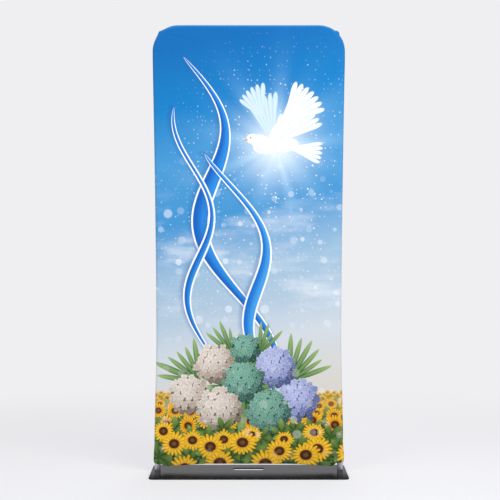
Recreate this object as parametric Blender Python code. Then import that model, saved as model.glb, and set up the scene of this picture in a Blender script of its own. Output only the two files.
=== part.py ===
"""Church banner: a printed stretch cloth sleeve pulled over a tube frame that stands on a steel base plate.

Metres, +Z up, front towards -Y. The origin is on the floor, under the middle of the base plate.
"""

import math

import bmesh
import bpy
from mathutils import Vector

# Driving dimensions
TOTAL_HEIGHT = 2.134
FRAME_WIDTH = 0.9144
TUBE_RADIUS = 0.014
CLOTH_THICKNESS = 0.0012
CLOTH_GAP = 0.0004
CORNER_RADIUS = 0.1085
PIECE_GAP = 0.0003

# Base plate, with a hand slot behind the line of the poles
PLATE_WIDTH = 0.932
PLATE_DEPTH = 0.324
PLATE_THICKNESS = 0.006
PLATE_CORNER = 0.024
PLATE_EDGE = 0.0012
FRAME_SETBACK = 0.0315
SLOT_WIDTH = 0.144
SLOT_DEPTH = 0.050
SLOT_CORNER = 0.012
SLOT_SETBACK = 0.029

# Tube frame: bowed poles on spigots, elbows with swaged ends, a straight top rail
TUBE_BORE = 0.0125
TUBE_SIDES = 24
SWAGE_RADIUS = 0.0122
SWAGE_BORE = 0.0105
SWAGE_LENGTH = 0.045
SPIGOT_HEIGHT = 0.070
SPIGOT_CHAMFER = 0.002
STRAIGHT_FOOT = 0.090
STRAIGHT_TOP = 0.050
FOOT_HALF_WIDTH = 0.4368
WAIST_HALF_WIDTH = 0.4268
WAIST_HEIGHT = 0.660
UPPER_BOW_POWER = 1.6
BOW_STEPS = 14
ELBOW_STEP = 9

# Cloth sleeve: how it wraps the tube, and how its hem hangs
WRAP_STEPS = 5
PANEL_COLUMNS = 16
HEM_HEIGHT = 0.0395
HEM_DROOP = 0.0105
DROOP_START = 0.17
DROOP_SPAN = 0.25
RISE_START = 0.400
RISE_SPAN = 0.022
HEM_RISES = {"left": 0.009, "right": 0.015}
SEAM_RISE = 0.004

# Stand-off of the slack seam just above the hem
HEM_FLARES = (
    {"height": HEM_HEIGHT, "stand_off": 0.0025},
    {"height": 0.060, "stand_off": 0.0046},
    {"height": STRAIGHT_FOOT, "stand_off": 0.0026},
    {"height": 0.145, "stand_off": 0.0},
)

# The seam bunches at the middle of each top corner, and pushes the cloth off the tube
PEAKS = {
    "left": {"height": 0.0095, "half_length": 0.044, "crown": 1.0, "flank": 2.3},
    "right": {"height": 0.0088, "half_length": 0.0165, "crown": 2.0, "flank": 1.2},
}
PEAK_WRAP = math.radians(75)
PEAK_WRAP_POWER = 1.5
PEAK_ANGLES = (39, 41, 43, 45, 47, 49, 51)

# Worked out from the sizes above
TOP_AXIS = TOTAL_HEIGHT - TUBE_RADIUS - CLOTH_GAP - CLOTH_THICKNESS
TOP_HALF_WIDTH = FRAME_WIDTH / 2 - TUBE_RADIUS
ELBOW_X = TOP_HALF_WIDTH - CORNER_RADIUS
ELBOW_Z = TOP_AXIS - CORNER_RADIUS
BOW_TOP = ELBOW_Z - STRAIGHT_TOP
CLOTH_RADIUS = TUBE_RADIUS + CLOTH_GAP + CLOTH_THICKNESS
UP = Vector((0, 0, 1))
BACK = Vector((0, 1, 0))


def smoothstep(value):
    """0 below 0, 1 above 1, and a soft S between."""
    t = min(max(value, 0.0), 1.0)
    return t * t * (3 - 2 * t)


def axis_half_width(height):
    """How far a pole's axis is from the middle: the stretched cloth draws both poles in at the waist."""
    if height < WAIST_HEIGHT:
        share = smoothstep((WAIST_HEIGHT - height) / (WAIST_HEIGHT - STRAIGHT_FOOT))
        return WAIST_HALF_WIDTH + (FOOT_HALF_WIDTH - WAIST_HALF_WIDTH) * share
    share = min((height - WAIST_HEIGHT) / (BOW_TOP - WAIST_HEIGHT), 1.0)
    return WAIST_HALF_WIDTH + (TOP_HALF_WIDTH - WAIST_HALF_WIDTH) * share**UPPER_BOW_POWER


def bow_heights():
    """Heights of the pole's sections, shared by the cloth so that both bow alike."""
    step = (BOW_TOP - STRAIGHT_FOOT) / BOW_STEPS
    return [STRAIGHT_FOOT + step * i for i in range(BOW_STEPS + 1)]


def elbow_angles(extra=()):
    """Angles of an elbow's sections, from level with the pole to level with the top rail."""
    degrees = sorted({*range(0, 91, ELBOW_STEP), *extra})
    return [math.radians(angle) for angle in degrees]


def in_frame_plane(x, z):
    """A point in the upright plane of the tube frame."""
    return Vector((x, FRAME_SETBACK, z))


def make_material(name, colour, roughness, metallic):
    """A plain finish in the part's own colour."""
    made = bpy.data.materials.new(name)
    made.use_nodes = True
    shader = made.node_tree.nodes["Principled BSDF"]
    shader.inputs["Base Color"].default_value = (*colour, 1)
    shader.inputs["Roughness"].default_value = roughness
    shader.inputs["Metallic"].default_value = metallic
    return made


def add_object(name, shape, finish, sharp_angle=math.radians(35)):
    """Links the finished shape to the scene as one named piece."""
    bmesh.ops.recalc_face_normals(shape, faces=shape.faces)
    mesh = bpy.data.meshes.new(name)
    shape.to_mesh(mesh)
    shape.free()
    mesh.shade_smooth()
    mesh.set_sharp_from_angle(angle=sharp_angle)
    mesh.materials.append(finish)
    piece = bpy.data.objects.new(name, mesh)
    bpy.context.scene.collection.objects.link(piece)
    return piece


def add_ring(shape, centre, outward, radius):
    """A ring of points round a tube's axis, in the plane of outward and the depth."""
    turns = [2 * math.pi * i / TUBE_SIDES for i in range(TUBE_SIDES)]
    return [
        shape.verts.new(centre + radius * (math.cos(a) * outward + math.sin(a) * BACK))
        for a in turns
    ]


def bridge(shape, first, second):
    """Quads between two rings with the same number of points."""
    for i in range(len(first)):
        j = (i + 1) % len(first)
        shape.faces.new((first[i], first[j], second[j], second[i]))


def build_tube(name, stations, bore, finish):
    """A hollow tube through stations of (centre, outward direction, outer radius)."""
    shape = bmesh.new()
    outer = [add_ring(shape, *station) for station in stations]
    inner = []
    last_centre = None
    for centre, outward, _ in stations:
        if last_centre is None or (centre - last_centre).length > PIECE_GAP:
            inner.append(add_ring(shape, centre, outward, bore))
        last_centre = centre
    for rings in (outer, inner):
        for first, second in zip(rings, rings[1:]):
            bridge(shape, first, second)
    bridge(shape, outer[0], inner[0])
    bridge(shape, outer[-1], inner[-1])
    return add_object(name, shape, finish)


def build_pole(name, side, finish):
    """One bowed upright tube, from the base plate to its elbow."""
    ends = [PLATE_THICKNESS + PIECE_GAP, ELBOW_Z - PIECE_GAP]
    heights = [ends[0], *bow_heights(), ends[1]]
    stations = [
        (in_frame_plane(side * axis_half_width(z), z), Vector((side, 0, 0)), TUBE_RADIUS)
        for z in heights
    ]
    return build_tube(name, stations, TUBE_BORE, finish)


def build_elbow(name, side, finish):
    """A quarter bend whose swaged ends plug into the pole below and the top rail beside it."""
    pole_x, rail_z = side * TOP_HALF_WIDTH, TOP_AXIS
    outward = Vector((side, 0, 0))
    low_end = in_frame_plane(pole_x, ELBOW_Z - SWAGE_LENGTH)
    low_shoulder = in_frame_plane(pole_x, ELBOW_Z)
    stations = [(low_end, outward, SWAGE_RADIUS), (low_shoulder, outward, SWAGE_RADIUS)]
    for angle in elbow_angles():
        direction = Vector((side * math.cos(angle), 0, math.sin(angle)))
        centre = in_frame_plane(side * ELBOW_X, ELBOW_Z) + CORNER_RADIUS * direction
        stations.append((centre, direction, TUBE_RADIUS))
    stations += [
        (in_frame_plane(side * ELBOW_X, rail_z), UP, SWAGE_RADIUS),
        (in_frame_plane(side * (ELBOW_X - SWAGE_LENGTH), rail_z), UP, SWAGE_RADIUS),
    ]
    return build_tube(name, stations, SWAGE_BORE, finish)


def build_top_rail(finish):
    """The straight tube across the top, between the elbows."""
    end = ELBOW_X - PIECE_GAP
    stations = [(in_frame_plane(x, TOP_AXIS), UP, TUBE_RADIUS) for x in (-end, end)]
    return build_tube("top_rail", stations, TUBE_BORE, finish)


def build_spigot(name, side, finish):
    """The stub on the plate that a pole slides down over, with a chamfered top."""
    shape = bmesh.new()
    bmesh.ops.create_cone(
        shape,
        cap_ends=True,
        segments=TUBE_SIDES,
        radius1=SWAGE_RADIUS,
        radius2=SWAGE_RADIUS,
        depth=SPIGOT_HEIGHT,
    )
    top = [e for e in shape.edges if all(v.co.z > 0 for v in e.verts)]
    bmesh.ops.bevel(shape, geom=top, offset=SPIGOT_CHAMFER, segments=1, affect="EDGES")
    piece = add_object(name, shape, finish)
    middle = PLATE_THICKNESS + PIECE_GAP + SPIGOT_HEIGHT / 2
    piece.location = in_frame_plane(side * FOOT_HALF_WIDTH, middle)
    return piece


def rounded_block(width, depth, corner, low, high, corner_steps=6):
    """An upright block with rounded corners, centred on its own axis."""
    shape = bmesh.new()
    outline = []
    for quarter in range(4):
        start = math.pi / 2 * quarter
        turn = start + math.pi / 4
        middle_x = math.copysign(width / 2 - corner, math.cos(turn))
        middle_y = math.copysign(depth / 2 - corner, math.sin(turn))
        for i in range(corner_steps + 1):
            angle = start + math.pi / 2 * i / corner_steps
            x = middle_x + corner * math.cos(angle)
            y = middle_y + corner * math.sin(angle)
            outline.append(shape.verts.new((x, y, low)))
    face = shape.faces.new(outline)
    lifted = bmesh.ops.extrude_face_region(shape, geom=[face])
    top = [v for v in lifted["geom"] if isinstance(v, bmesh.types.BMVert)]
    bmesh.ops.translate(shape, verts=top, vec=(0, 0, high - low))
    return shape


def build_base_plate(finish):
    """The heavy steel plate, with its edges eased and a slot to carry it by."""
    block = rounded_block(PLATE_WIDTH, PLATE_DEPTH, PLATE_CORNER, 0.0, PLATE_THICKNESS)
    plate = add_object("base_plate", block, finish)
    over = PLATE_THICKNESS
    hole = rounded_block(SLOT_WIDTH, SLOT_DEPTH, SLOT_CORNER, -over, PLATE_THICKNESS + over)
    cutter = add_object("slot_cutter", hole, finish)
    cutter.location = (0, FRAME_SETBACK + SLOT_SETBACK, 0)
    cutter.hide_render = True
    cutter.display_type = "WIRE"
    cut = plate.modifiers.new("slot", "BOOLEAN")
    cut.operation = "DIFFERENCE"
    cut.object = cutter
    ease = plate.modifiers.new("eased_edges", "BEVEL")
    ease.width = PLATE_EDGE
    ease.segments = 2
    ease.limit_method = "ANGLE"
    ease.angle_limit = math.radians(50)
    return plate


def side_word(x):
    """Which side of the banner this is, as seen from the front."""
    return "left" if x < 0 else "right"


def hem_height(x):
    """The hem's lower edge: arched in the middle, slack towards the poles and caught up at them."""
    droop = HEM_DROOP * smoothstep((abs(x) - DROOP_START) / DROOP_SPAN)
    rise = HEM_RISES[side_word(x)] * smoothstep((abs(x) - RISE_START) / RISE_SPAN)
    return HEM_HEIGHT - droop + rise


def peak_height(side, arc):
    """How far the bunched seam stands off the tube, this far along the bend from its middle."""
    row = PEAKS[side_word(side)]
    reach = min(abs(arc) / row["half_length"], 1.0)
    return row["height"] * (1 - reach ** row["crown"]) ** row["flank"]


def side_rows(side):
    """The cloth's sections up one side: (axis x, axis z, outward direction, stand-off at the seam)."""
    across = Vector((side, 0, 0))
    rows = [
        (side * axis_half_width(row["height"]), row["height"], across, row["stand_off"])
        for row in HEM_FLARES
    ]
    rows += [(side * axis_half_width(z), z, across, 0.0) for z in bow_heights()[1:]]
    for angle in elbow_angles(PEAK_ANGLES):
        direction = Vector((side * math.cos(angle), 0, math.sin(angle)))
        x = side * ELBOW_X + CORNER_RADIUS * direction.x
        z = ELBOW_Z + CORNER_RADIUS * direction.z
        arc = (CORNER_RADIUS + CLOTH_RADIUS) * (angle - math.pi / 4)
        rows.append((x, z, direction, peak_height(side, arc)))
    return rows


def wrap_points(row, depth_sign, radius, is_hem):
    """Points round the tube at one section, from the cloth's face towards the side seam."""
    x, z, outward, stand_off = row
    points = []
    for step in range(1, WRAP_STEPS + 1):
        angle = math.pi / 2 * (1 - step / WRAP_STEPS)
        lift = stand_off * max(0.0, 1 - angle / PEAK_WRAP) ** PEAK_WRAP_POWER
        depth = max(radius * math.sin(angle), PIECE_GAP / 2)
        point = in_frame_plane(x, z) + (radius + lift) * math.cos(angle) * outward
        point.y += depth_sign * depth
        if is_hem:
            point.z = hem_height(x) + SEAM_RISE * math.cos(angle)
        points.append(point)
    return points


def sheet_points(depth_sign, radius):
    """One surface of a panel, this far from the tube's axis: the lines of its face, and its wraps."""
    left, right = side_rows(-1), side_rows(1)
    face = []
    for index, (low, high) in enumerate(zip(left, right)):
        line = []
        for column in range(PANEL_COLUMNS + 1):
            share = math.sin(math.pi / 2 * (2 * column / PANEL_COLUMNS - 1))
            x = (low[0] + high[0]) / 2 + share * (high[0] - low[0]) / 2
            z = hem_height(x) if index == 0 else low[1]
            line.append(in_frame_plane(x, z) + depth_sign * radius * BACK)
        face.append(line)
    over_rail = [(point.x, TOP_AXIS, UP, 0.0) for point in face[-1][1:-1]]
    rows = left + over_rail + right[::-1]
    ends = (0, len(rows) - 1)
    wraps = [wrap_points(row, depth_sign, radius, i in ends) for i, row in enumerate(rows)]
    return face, wraps


def add_surface(shape, face, wraps):
    """Adds a panel's surface to the shape: the flat face, then the wraps that start at its edge."""
    lines = [[shape.verts.new(point) for point in line] for line in face]
    edge = [line[0] for line in lines] + lines[-1][1:-1] + [line[-1] for line in reversed(lines)]
    chains = [
        [start, *(shape.verts.new(point) for point in wrap)] for start, wrap in zip(edge, wraps)
    ]
    for strips in (lines, chains):
        for first, second in zip(strips, strips[1:]):
            for i in range(len(first) - 1):
                shape.faces.new((first[i], first[i + 1], second[i + 1], second[i]))
    return [vert for strip in (*lines, *(chain[1:] for chain in chains)) for vert in strip]


def build_panel(name, depth_sign, finish):
    """One cloth panel: flat between the poles, wrapped a quarter turn round the tube to the seam."""
    shape = bmesh.new()
    outer = add_surface(shape, *sheet_points(depth_sign, CLOTH_RADIUS))
    rim = [tuple(edge.verts) for edge in shape.edges if edge.is_boundary]
    inner = add_surface(shape, *sheet_points(depth_sign, CLOTH_RADIUS - CLOTH_THICKNESS))
    behind = dict(zip(outer, inner))
    for first, second in rim:
        shape.faces.new((first, second, behind[second], behind[first]))
    return add_object(name, shape, finish)


def build_banner():
    """Puts the whole banner together."""
    for leftover in list(bpy.data.objects):
        bpy.data.objects.remove(leftover)
    steel = make_material("grey_powder_coat", (0.12, 0.12, 0.13), 0.38, 0.0)
    bare_tube = make_material("anodised_tube", (0.68, 0.69, 0.72), 0.32, 1.0)
    printed = make_material("printed_stretch_cloth", (0.14, 0.42, 0.78), 0.75, 0.0)
    plain = make_material("plain_white_cloth", (0.86, 0.87, 0.89), 0.8, 0.0)
    build_base_plate(steel)
    for word, side in (("left", -1), ("right", 1)):
        build_spigot(f"spigot_{word}", side, steel)
        build_pole(f"pole_{word}", side, bare_tube)
        build_elbow(f"elbow_{word}", side, bare_tube)
    build_top_rail(bare_tube)
    build_panel("front_panel", -1, printed)
    build_panel("back_panel", 1, plain)


build_banner()
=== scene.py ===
import math

import bmesh
import bpy
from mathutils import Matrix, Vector


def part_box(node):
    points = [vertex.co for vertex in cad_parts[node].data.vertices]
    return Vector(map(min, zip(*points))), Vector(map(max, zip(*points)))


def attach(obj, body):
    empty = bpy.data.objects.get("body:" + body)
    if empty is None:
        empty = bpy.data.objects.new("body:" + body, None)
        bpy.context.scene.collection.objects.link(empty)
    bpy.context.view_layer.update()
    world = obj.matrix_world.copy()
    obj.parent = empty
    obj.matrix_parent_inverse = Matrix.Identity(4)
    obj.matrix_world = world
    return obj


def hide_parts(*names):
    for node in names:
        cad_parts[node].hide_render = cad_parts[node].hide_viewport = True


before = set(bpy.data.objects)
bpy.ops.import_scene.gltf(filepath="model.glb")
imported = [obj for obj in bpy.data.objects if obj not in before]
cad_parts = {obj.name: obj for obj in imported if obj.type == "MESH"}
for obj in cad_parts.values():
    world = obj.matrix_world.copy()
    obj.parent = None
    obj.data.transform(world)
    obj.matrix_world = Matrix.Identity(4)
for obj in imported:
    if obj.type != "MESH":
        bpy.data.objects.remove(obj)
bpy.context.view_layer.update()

# The base plate: a 6 mm steel plate, cut and slotted, its edges eased, then powder coated a satin
# dark grey under a thin clear layer. It keeps its built shape. The coat has a fine orange peel,
# dust on its flat top and paler rubbed edges, and shoes have worn its gloss away at the front.
PLATE_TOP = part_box("base_plate")[1].z
PLATE_HALF_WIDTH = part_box("base_plate")[1].x
PLATE_HALF_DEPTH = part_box("base_plate")[1].y
PLATE_CORNER = 0.024
COAT_GREY = "#17171A"
RUBBED_GREY = "#6F6F74"
DUST_GREY = "#8D8A85"
ORANGE_PEEL_PER_METRE = 520
ORANGE_PEEL_DEPTH = 0.00002
GLOSS_LEFT = 0.86
WORN_FROM = -0.150
UNWORN_FROM = 0.010


def colour(code):
    """A colour as a painter names it, in the linear light that shaders use."""
    channels = [int(code[i : i + 2], 16) / 255 for i in (1, 3, 5)]
    linear = [c / 12.92 if c <= 0.04045 else ((c + 0.055) / 1.055) ** 2.4 for c in channels]
    return (*linear, 1.0)


def plug(value, socket):
    """Feeds a socket with a flow, or sets it to a plain value."""
    if isinstance(value, Flow):
        socket.id_data.links.new(value.socket, socket)
    else:
        socket.default_value = value


class Flow:
    """A value on its way between shader nodes, so that a formula reads as a formula."""

    def __init__(self, socket):
        self.socket = socket
        self.tree = socket.id_data

    def work(self, operation, *others):
        node = self.tree.nodes.new("ShaderNodeMath")
        node.operation = operation
        for value, socket in zip((self, *others), node.inputs):
            plug(value, socket)
        return Flow(node.outputs[0])

    def __add__(self, other):
        return self.work("ADD", other)

    def __sub__(self, other):
        return self.work("SUBTRACT", other)

    def __mul__(self, other):
        return self.work("MULTIPLY", other)

    def __truediv__(self, other):
        return self.work("DIVIDE", other)

    def __pow__(self, other):
        return self.work("POWER", other)

    def __abs__(self):
        return self.work("ABSOLUTE")

    __radd__ = __add__
    __rmul__ = __mul__

    def __rsub__(self, other):
        node = self.tree.nodes.new("ShaderNodeMath")
        node.operation = "SUBTRACT"
        node.inputs[0].default_value = other
        plug(self, node.inputs[1])
        return Flow(node.outputs[0])

    def between(self, low, high, start=0.0, end=1.0):
        """0 up to low, 1 from high, and a soft ramp between."""
        node = self.tree.nodes.new("ShaderNodeMapRange")
        node.interpolation_type = "SMOOTHSTEP"
        node.clamp = False
        for value, socket in zip((self, low, high, start, end), node.inputs):
            plug(value, socket)
        return Flow(node.outputs["Result"])

    def fade(self, low, high):
        """1 up to low, 0 from high, and a soft ramp between."""
        return self.between(low, high, 1.0, 0.0)

    def parts(self):
        """The three numbers of a vector or of a colour."""
        is_colour = self.socket.type == "RGBA"
        kind = "ShaderNodeSeparateColor" if is_colour else "ShaderNodeSeparateXYZ"
        node = self.tree.nodes.new(kind)
        plug(self, node.inputs[0])
        return [Flow(socket) for socket in node.outputs]


def vector(tree, *numbers):
    """A vector from up to three numbers."""
    node = tree.nodes.new("ShaderNodeCombineXYZ")
    for value, socket in zip(numbers, node.inputs):
        plug(value, socket)
    return Flow(node.outputs[0])


def length(across, up):
    """How far a point is from the origin of its own plane."""
    return (across * across + up * up) ** 0.5


def mix(below, above, share):
    """Lays one colour over another, by a mask."""
    node = share.tree.nodes.new("ShaderNodeMix")
    node.data_type = "RGBA"
    for value, number in ((share, 0), (below, 6), (above, 7)):
        plug(value, node.inputs[number])
    return Flow(node.outputs[2])


def cloudy(place, per_metre, detail=2.0, rough=0.5):
    """Soft noise from 0 to 1."""
    node = place.tree.nodes.new("ShaderNodeTexNoise")
    node.inputs["Scale"].default_value = per_metre
    node.inputs["Detail"].default_value = detail
    node.inputs["Roughness"].default_value = rough
    plug(place, node.inputs["Vector"])
    return Flow(node.outputs["Fac"])


def make_group(name, inputs, outputs):
    """An empty effect with named inputs and outputs. Returns it, and its inputs as flows."""
    group = bpy.data.node_groups.new(name, "ShaderNodeTree")
    kinds = {float: "NodeSocketFloat", tuple: "NodeSocketColor", Vector: "NodeSocketVector"}
    for label, value in inputs.items():
        socket = group.interface.new_socket(label, in_out="INPUT", socket_type=kinds[type(value)])
        socket.default_value = value
    for label, kind in outputs.items():
        group.interface.new_socket(label, in_out="OUTPUT", socket_type=kinds[kind])
    entry = group.nodes.new("NodeGroupInput")
    group.nodes.new("NodeGroupOutput")
    return group, [Flow(entry.outputs[label]) for label in inputs]


def finish_group(group, *results):
    """Joins the worked-out results to the effect's outputs, in their order."""
    for result, socket in zip(results, group.nodes["Group Output"].inputs):
        plug(result, socket)


def use(group, tree, *values):
    """Places an effect in a material or in another effect, and returns its outputs."""
    node = tree.nodes.new("ShaderNodeGroup")
    node.node_tree = group
    for value, socket in zip(values, node.inputs):
        plug(value, socket)
    outputs = [Flow(socket) for socket in node.outputs]
    return outputs[0] if len(outputs) == 1 else outputs


def new_material(name, roughness, metallic=0.0, **fixed):
    """A material with its shader, and with the values that are the same all over it."""
    made = bpy.data.materials.new(name)
    made.use_nodes = True
    shader = made.node_tree.nodes["Principled BSDF"]
    shader.inputs["Roughness"].default_value = roughness
    shader.inputs["Metallic"].default_value = metallic
    for label, value in fixed.items():
        shader.inputs[label.replace("_", " ")].default_value = value
    return made, made.node_tree, shader


def object_place(tree):
    """Where a point is on the banner, in metres."""
    return Flow(tree.nodes.new("ShaderNodeTexCoord").outputs["Object"])


def raise_surface(tree, shader, height, depth):
    """Lets a height pattern tilt the surface, where 1 stands for this depth in metres."""
    bump = tree.nodes.new("ShaderNodeBump")
    bump.inputs["Strength"].default_value = 1.0
    bump.inputs["Distance"].default_value = depth
    plug(height, bump.inputs["Height"])
    plug(Flow(bump.outputs["Normal"]), shader.inputs["Normal"])


def make_scuffs_group():
    """Handling marks: cloudy patches broken into fine short scratches."""
    group, (place, coarse) = make_group(
        "handling_scuffs", {"Place": Vector((0, 0, 0)), "Patches per metre": 12.0}, {"Mask": float}
    )
    x, y, z = place.parts()
    stretched = vector(group, x * 9.0, y * 160.0, z * 40.0)
    scratches = cloudy(stretched, 1.0, detail=4.0, rough=0.7).between(0.56, 0.72)
    patches = cloudy(vector(group, x * coarse, y * coarse, z * coarse), 1.0).between(0.45, 0.75)
    finish_group(group, scratches * patches)
    return group


scuffs_group = make_scuffs_group()


def coat_base_plate():
    """Dark powder coat with its dust, rubbed edges, scuffs and worn clear layer."""
    made, tree, shader = new_material(
        "satin_powder_coat", 0.30, Specular_IOR_Level=0.002, Coat_IOR=1.10, Coat_Roughness=0.16
    )
    place = object_place(tree)
    x, y, z = place.parts()
    corner_x = (abs(x) - (PLATE_HALF_WIDTH - PLATE_CORNER)).work("MAXIMUM", 0.0)
    corner_y = (abs(y) - (PLATE_HALF_DEPTH - PLATE_CORNER)).work("MAXIMUM", 0.0)
    from_rim = PLATE_CORNER - length(corner_x, corner_y)
    patchy = cloudy(place, 60, detail=4.0)
    rubbed = (1.0 - from_rim.between(0.0004, 0.0030)) * patchy.between(0.42, 0.66)
    flat_top = z.between(PLATE_TOP - 0.0006, PLATE_TOP - 0.0001)
    settled = flat_top * cloudy(place, 26, detail=5.0, rough=0.65)
    specks = cloudy(place, 900, detail=1.0).between(0.70, 0.78)
    scuffed = use(scuffs_group, tree, place, 16.0)
    coat = mix(colour(COAT_GREY), colour(RUBBED_GREY), rubbed * 0.20)
    coat = mix(coat, colour(DUST_GREY), settled * 0.03 + specks * 0.04)
    coat = mix(coat, colour(RUBBED_GREY), scuffed * 0.14)
    plug(coat, shader.inputs["Base Color"])
    plug(0.15 + settled * 0.06 + scuffed * 0.12 + rubbed * 0.05, shader.inputs["Roughness"])
    dulled = 1.0 - (scuffed * 0.30 + settled * 0.12)
    plug(y.between(WORN_FROM, UNWORN_FROM) * dulled * GLOSS_LEFT, shader.inputs["Coat Weight"])
    peel = cloudy(place, ORANGE_PEEL_PER_METRE, detail=1.0)
    raise_surface(tree, shader, peel + scuffed * -0.2, ORANGE_PEEL_DEPTH)
    return made


def refinish(node_name, made):
    """Gives a built piece its finish."""
    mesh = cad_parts[node_name].data
    mesh.materials.clear()
    mesh.materials.append(made)


refinish("base_plate", coat_base_plate())

# The spigots: short turned steel stubs, bright zinc plated, that stand on the plate. The poles
# slide down over them and hide them.
ZINC = "#9A9DA3"
ZINC_SHADE = "#6E7177"
TURNING_PITCH = 0.0004
TURNING_DEPTH = 0.000008


def plate_with_zinc():
    """Bright zinc with its spangle, over the fine rings that the lathe left."""
    made, tree, shader = new_material("zinc_plate", 0.38, metallic=1.0)
    place = object_place(tree)
    spangle = cloudy(place, 240, detail=3.0)
    plug(mix(colour(ZINC), colour(ZINC_SHADE), spangle.between(0.4, 0.7)), shader.inputs["Base Color"])
    plug(0.30 + spangle * 0.20, shader.inputs["Roughness"])
    turned = (place.parts()[2] * (2 * math.pi / TURNING_PITCH)).work("SINE")
    raise_surface(tree, shader, turned, TURNING_DEPTH)
    return made


zinc = plate_with_zinc()
for word in ("left", "right"):
    refinish(f"spigot_{word}", zinc)

# The poles: 28 mm aluminium tubes, satin silver anodised, which the stretched cloth pulls into a
# slow bow with its waist at two thirds of a metre. Their cut ends are eased, and the drawn
# surface has fine lines along the tube.
TUBE_RADIUS = 0.014
TUBE_BORE = 0.0125
END_EASE = 0.0006
END_STEPS = 3
TUBE_SIDES = 64
FRAME_SETBACK = sum(corner.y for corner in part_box("top_rail")) / 2
PIECE_GAP = 0.0003
CORNER_RADIUS = 0.1085
STRAIGHT_FOOT = 0.090
STRAIGHT_TOP = 0.050
FOOT_HALF_WIDTH = 0.4368
WAIST_HALF_WIDTH = 0.4268
WAIST_HEIGHT = 0.660
UPPER_BOW_POWER = 1.6
POLE_STEPS = 90
TOP_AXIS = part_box("top_rail")[1].z - TUBE_RADIUS
TOP_HALF_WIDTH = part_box("elbow_right")[1].x - TUBE_RADIUS
ELBOW_X = TOP_HALF_WIDTH - CORNER_RADIUS
ELBOW_Z = TOP_AXIS - CORNER_RADIUS
BOW_TOP = ELBOW_Z - STRAIGHT_TOP
UP = Vector((0, 0, 1))
TUBE_SILVER = "#C3C5CB"
TUBE_SHADE = "#9A9CA3"
TUBE_SCUFF = "#5F6168"
DRAWN_LINE_DEPTH = 0.00002


def soft_step(value):
    """0 below 0, 1 above 1, and a soft S between."""
    t = min(max(value, 0.0), 1.0)
    return t * t * (3 - 2 * t)


def axis_half_width(height):
    """How far a pole's axis is from the middle, at this height."""
    if height < WAIST_HEIGHT:
        share = soft_step((WAIST_HEIGHT - height) / (WAIST_HEIGHT - STRAIGHT_FOOT))
        return WAIST_HALF_WIDTH + (FOOT_HALF_WIDTH - WAIST_HALF_WIDTH) * share
    share = min((height - WAIST_HEIGHT) / (BOW_TOP - WAIST_HEIGHT), 1.0)
    return WAIST_HALF_WIDTH + (TOP_HALF_WIDTH - WAIST_HALF_WIDTH) * share**UPPER_BOW_POWER


def add_piece(name, mesh, made, slot_name, *replaced):
    """Links a finished mesh as a piece of the banner, with its material and carrier; its slot name is
    not used.
    """
    mesh.materials.append(made)
    piece = bpy.data.objects.new(name, mesh)
    bpy.context.scene.collection.objects.link(piece)
    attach(piece, "root")
    if replaced:
        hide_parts(*replaced)
    return piece


def make_anodised_tube():
    """Satin aluminium with the drawn tube's fine lines, and scuffs from packing."""
    made, tree, shader = new_material("satin_anodised_tube", 0.34, metallic=1.0)
    place = object_place(tree)
    x, y, z = place.parts()
    lines = cloudy(vector(tree, x * 2600.0, y * 2600.0, z * 14.0), 1.0, detail=2.0)
    bloom = cloudy(place, 34, detail=3.0)
    scuffed = use(scuffs_group, tree, place, 10.0)
    metal = mix(colour(TUBE_SILVER), colour(TUBE_SHADE), lines * 0.6 + bloom * 0.25)
    plug(mix(metal, colour(TUBE_SCUFF), scuffed * 0.35), shader.inputs["Base Color"])
    plug(0.36 + lines * 0.14 + scuffed * 0.16, shader.inputs["Roughness"])
    raise_surface(tree, shader, lines, DRAWN_LINE_DEPTH)
    return made


anodised = make_anodised_tube()


def pole_profile():
    """Pairs of height and radius: up the outside, over the eased top end, and down the bore."""
    low = PLATE_TOP + PIECE_GAP
    high = ELBOW_Z - PIECE_GAP
    turns = [math.pi / 2 * i / END_STEPS for i in range(END_STEPS + 1)]
    outside = [
        (low + END_EASE * (1 - math.cos(t)), TUBE_RADIUS - END_EASE * (1 - math.sin(t)))
        for t in turns
    ]
    run = [(low + (high - low) * i / POLE_STEPS, TUBE_RADIUS) for i in range(1, POLE_STEPS)]
    over = [
        (high - END_EASE * (1 - math.sin(t)), TUBE_RADIUS - END_EASE * (1 - math.cos(t)))
        for t in turns
    ]
    bore = [(high - (high - low) * i / POLE_STEPS, TUBE_BORE) for i in range(POLE_STEPS + 1)]
    return outside + run + over + bore


def finish_mesh(name, shape, sharp_angle):
    """Turns modelled faces into a smooth-shaded mesh."""
    bmesh.ops.recalc_face_normals(shape, faces=shape.faces)
    mesh = bpy.data.meshes.new(name)
    shape.to_mesh(mesh)
    shape.free()
    mesh.shade_smooth()
    mesh.set_sharp_from_angle(angle=sharp_angle)
    return mesh


def side_word(x):
    """Which side of the banner this is, as seen from the front."""
    return "left" if x < 0 else "right"


def build_pole(side):
    """One bowed tube as a closed skin of rings, bore and all."""
    shape = bmesh.new()
    turns = [2 * math.pi * i / TUBE_SIDES for i in range(TUBE_SIDES)]
    spokes = [Vector((math.cos(turn), math.sin(turn), 0)) for turn in turns]
    rings = []
    for height, radius in pole_profile():
        centre = Vector((side * axis_half_width(height), FRAME_SETBACK, height))
        rings.append([shape.verts.new(centre + radius * spoke) for spoke in spokes])
    for first, second in zip(rings, rings[1:] + rings[:1]):
        for i in range(TUBE_SIDES):
            j = (i + 1) % TUBE_SIDES
            shape.faces.new((first[i], first[j], second[j], second[i]))
    return finish_mesh(f"pole_tube_{side_word(side)}", shape, math.radians(60))


for side in (-1, 1):
    word = side_word(side)
    add_piece(f"pole_tube_{word}", build_pole(side), anodised, "frame_tube", f"pole_{word}")

# The elbows and the top rail: the same tube, bent to the round corners and cut straight across
# the top. Their swaged ends plug into each other and into the poles. The cloth hides them, and
# they keep their built shape.
for name in ("elbow_left", "elbow_right", "top_rail"):
    refinish(name, anodised)

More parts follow.
